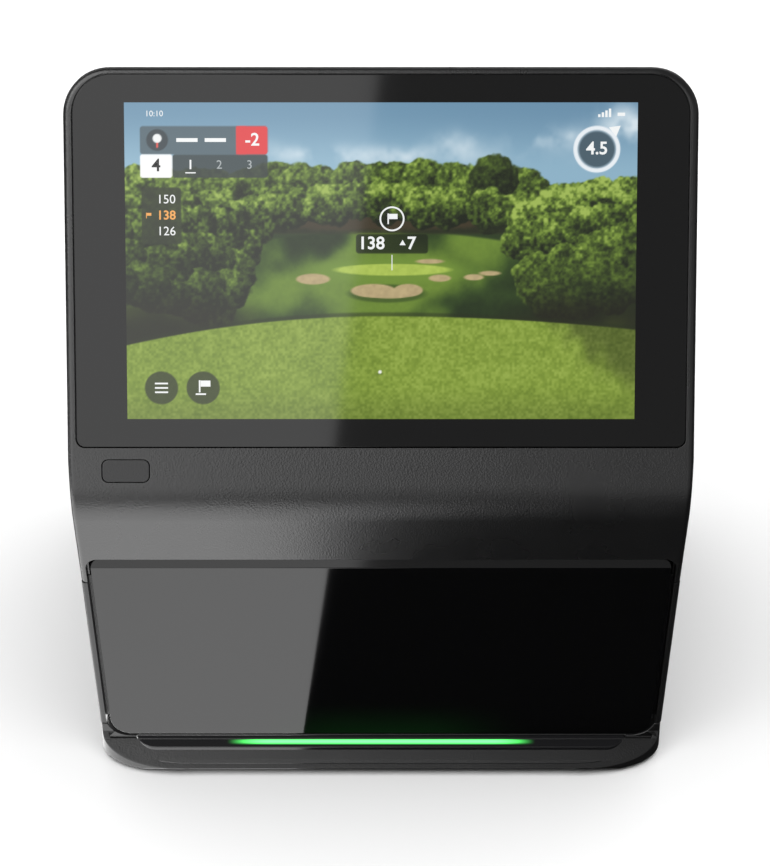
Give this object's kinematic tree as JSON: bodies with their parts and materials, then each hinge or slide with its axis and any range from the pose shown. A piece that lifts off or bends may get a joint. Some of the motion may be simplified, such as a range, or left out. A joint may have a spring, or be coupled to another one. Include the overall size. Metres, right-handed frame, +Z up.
{
  "type": "golf launch monitor",
  "caption": "Portable camera launch monitor for golf with a tilted touch screen, dark camera window, status light bar, power key, carrying handle and levelling feet.",
  "frame": {"origin": "bottom centre of the unit as it stands on a floor", "axes": "+X to the right as seen from the front, +Y to the back, +Z up; the screen and the camera window face -Y"},
  "size_m": [0.2688, 0.18, 0.3061],
  "materials": {
    "housing": "fine grained moulding, satin black",
    "frame": "satin black moulding",
    "screen_glass": "bonded cover glass over a lit display, gloss",
    "window": "polished infrared-pass black window",
    "light_lens": "smoked diffuser, glossy",
    "rubber": "soft moulded rubber",
    "grip": "ribbed soft grip",
    "steel": "plated steel",
    "aluminium": "die-cast and extruded, plain",
    "brass": "turned brass",
    "board": "green solder-masked circuit board",
    "display": "display module",
    "module": "moulded black plastic",
    "lens": "coated lens, gloss",
    "battery": "heat-shrink wrapped pack",
    "ribbon": "polyimide flat cable",
    "button": "satin black key"
  },
  "bodies": {
    "root": {"front_housing": "housing", "rear_housing": "housing", "base_tray": "frame", "window_frame": "frame", "cover_glass": "screen_glass", "camera_window": "window", "status_light_lens": "light_lens", "window_gasket": "rubber", "power_switch": "steel", "display_panel": "display", "display_bracket": "steel", "handle_bar": "frame", "handle_grip": "grip", "handle_screw_left": "steel", "handle_screw_right": "steel", "base_screw_front_left": "steel", "base_screw_front_right": "steel", "base_screw_rear_left": "steel", "base_screw_rear_right": "steel", "rear_foot_left": "rubber", "rear_foot_right": "rubber", "led_board": "board", "leveler_insert_left": "brass", "leveler_insert_right": "brass", "camera_rail": "aluminium", "camera_left": "module", "camera_center": "module", "camera_right": "module", "camera_lens_left": "lens", "camera_lens_center": "lens", "camera_lens_right": "lens", "ir_lamp_left": "board", "ir_lamp_right": "board", "inner_frame": "aluminium", "main_board": "board", "processor_shield": "steel", "heat_sink": "aluminium", "wifi_antenna": "board", "battery_pack": "battery", "battery_bracket": "steel", "display_ribbon": "ribbon", "fan_frame": "module", "vent_grille": "frame", "port_board": "board", "hdmi_port": "steel", "usb_c_port": "steel", "dc_power_jack": "module", "port_cover_pin": "steel", "rear_screw_left": "steel", "rear_screw_right": "steel"},
    "power_button": {"power_button": "button"},
    "port_cover": {"port_cover": "rubber"},
    "fan_rotor": {"fan_rotor": "module"},
    "leveler_pad_left": {"leveler_pad_left": "rubber"},
    "leveler_pad_right": {"leveler_pad_right": "rubber"},
    "leveler_wheel_left": {"leveler_wheel_left": "module"},
    "leveler_wheel_right": {"leveler_wheel_right": "module"}
  },
  "joints": [
    {"name": "power_button_press", "type": "slide", "parent": "root", "child": "power_button", "axis": [0, 0.8443, -0.5358], "range_m": [0, 0.0008], "stiffness_N_per_m": 600, "springref_m": -0.0016},
    {"name": "port_cover_hinge", "type": "hinge", "parent": "root", "child": "port_cover", "pos_m": [-0.08, 0.0871, 0.0762], "axis": [1, 0, 0], "range_deg": [0, 100]},
    {"name": "fan_spin", "type": "hinge", "parent": "root", "child": "fan_rotor", "pos_m": [0.06, 0.0765, 0.15], "axis": [0, 1, 0], "continuous": true},
    {"name": "leveler_left_travel", "type": "slide", "parent": "root", "child": "leveler_pad_left", "axis": [0, 0, -1], "range_m": [0, 0.006]},
    {"name": "leveler_left_turn", "type": "hinge", "parent": "leveler_pad_left", "child": "leveler_wheel_left", "pos_m": [-0.098, -0.028, 0.007], "axis": [0, 0, -1], "range_deg": [0, 1728]},
    {"name": "leveler_right_travel", "type": "slide", "parent": "root", "child": "leveler_pad_right", "axis": [0, 0, -1], "range_m": [0, 0.006]},
    {"name": "leveler_right_turn", "type": "hinge", "parent": "leveler_pad_right", "child": "leveler_wheel_right", "pos_m": [0.098, -0.028, 0.007], "axis": [0, 0, -1], "range_deg": [0, 1728]}
  ],
  "couplings": [
    {"joint": "leveler_left_turn", "follows": "leveler_left_travel", "rad_per_m": 5026.5},
    {"joint": "leveler_right_turn", "follows": "leveler_right_travel", "rad_per_m": 5026.5}
  ]
}
